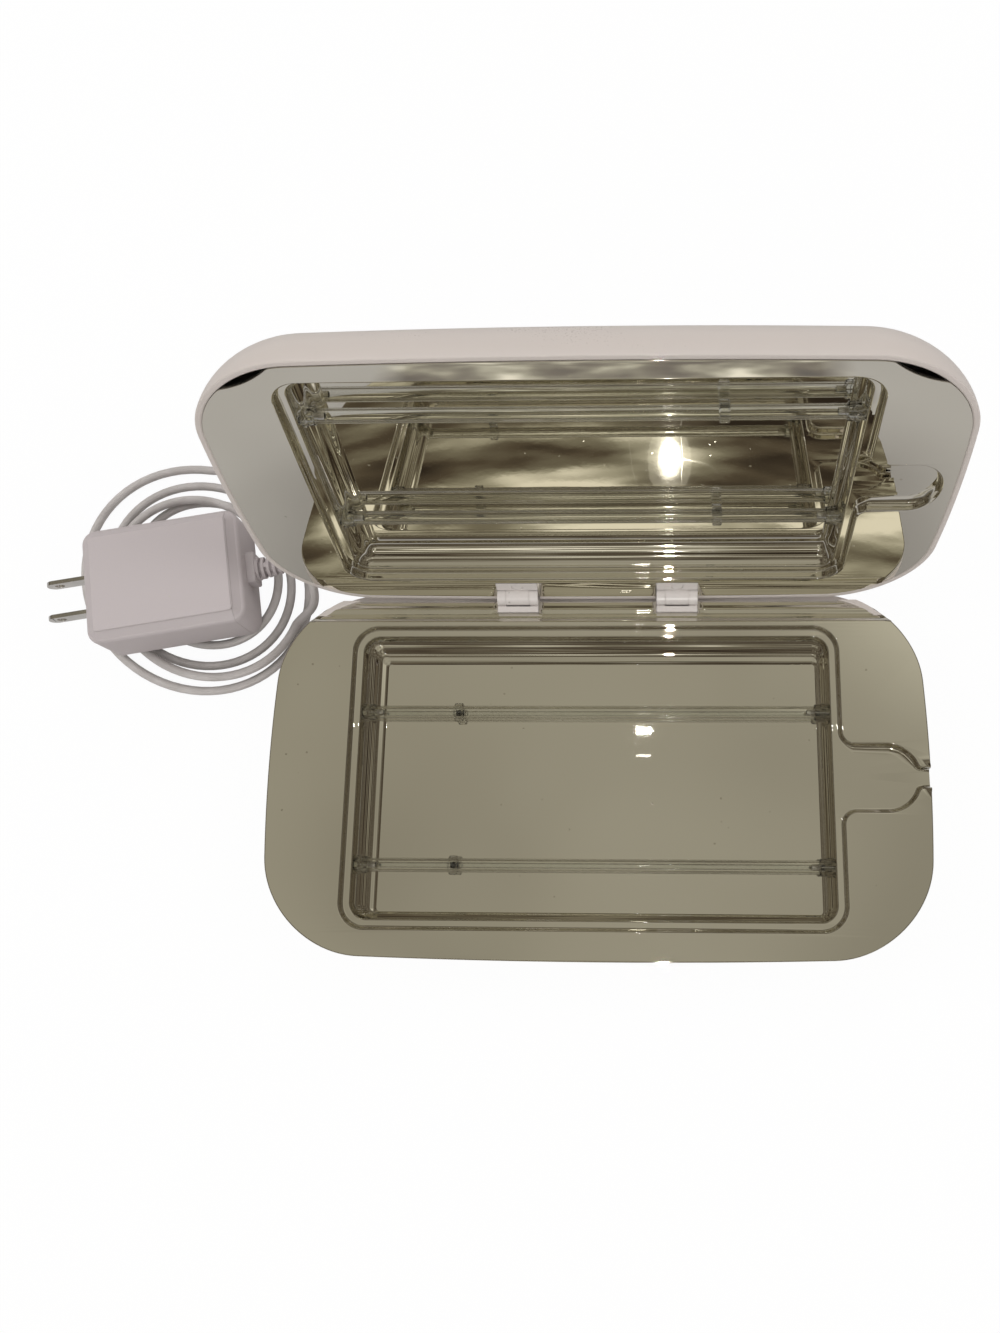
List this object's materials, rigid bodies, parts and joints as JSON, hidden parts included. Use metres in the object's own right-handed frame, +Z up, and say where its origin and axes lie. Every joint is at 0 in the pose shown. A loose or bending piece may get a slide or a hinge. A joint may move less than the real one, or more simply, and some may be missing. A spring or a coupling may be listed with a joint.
{
  "type": "uv sanitizer box for phones",
  "caption": "Rounded clamshell box with mirrored trays and clear lamp tubes in both halves, hinged at the back and standing open, with a wall adapter on a coiled cord",
  "frame": {"origin": "on the table, under the middle of the open box without its cord, coil and adapter", "axes": "+X to the box's right along the hinge, +Y to its back where the hinge is, +Z up"},
  "size_m": [0.3135, 0.182, 0.1436],
  "materials": {
    "white_shell": "smooth satin ABS",
    "mirror_plastic": "vacuum-metallised ABS, mirror bright, slightly warm",
    "white_trim": "smooth moulded plastic",
    "lamp_glass": "clear tube",
    "clear_plastic": "clear moulded plastic",
    "black_rubber": "matt",
    "dark_plastic": "fine matt",
    "bright_steel": "plated",
    "board": "solder resist",
    "cord_skin": "light grey soft sheath",
    "adapter_plastic": "smooth moulded plastic with fine texture"
  },
  "bodies": {
    "base": {"base_shell": "white_shell", "base_liner": "mirror_plastic", "base_knuckles": "white_trim", "hinge_pins": "bright_steel", "rubber_feet": "black_rubber", "base_screws": "bright_steel", "base_lamp_front": "lamp_glass", "base_lamp_rear": "lamp_glass", "base_lamp_caps": "bright_steel", "base_grommets": "black_rubber", "base_saddles": "clear_plastic", "circuit_board": "board", "transformer": "dark_plastic", "capacitors": "dark_plastic", "port_panel": "white_trim", "power_socket": "dark_plastic", "usb_port": "bright_steel", "lid_sensor": "dark_plastic", "power_plug": "white_trim", "plug_relief": "cord_skin", "cord_lead": "cord_skin", "cord_coil": "cord_skin", "cord_start": "cord_skin", "adapter_relief": "cord_skin", "adapter_cap": "adapter_plastic", "adapter_case": "adapter_plastic", "adapter_blades": "bright_steel"},
    "lid": {"lid_shell": "white_shell", "lid_liner": "mirror_plastic", "lid_knuckles": "white_trim", "knuckle_screws": "bright_steel", "lid_lamp_front": "lamp_glass", "lid_lamp_rear": "lamp_glass", "lid_lamp_caps": "bright_steel", "lid_grommets": "black_rubber", "lid_saddles": "clear_plastic", "lid_board": "board", "lid_transformer": "dark_plastic", "indicator_lens": "clear_plastic", "lid_magnet": "bright_steel"}
  },
  "joints": [
    {"name": "lid_hinge", "type": "hinge", "parent": "base", "child": "lid", "pos_m": [0, 0.0355, 0.0252], "axis": [1, 0, 0], "range_deg": [0, 106.6]}
  ]
}
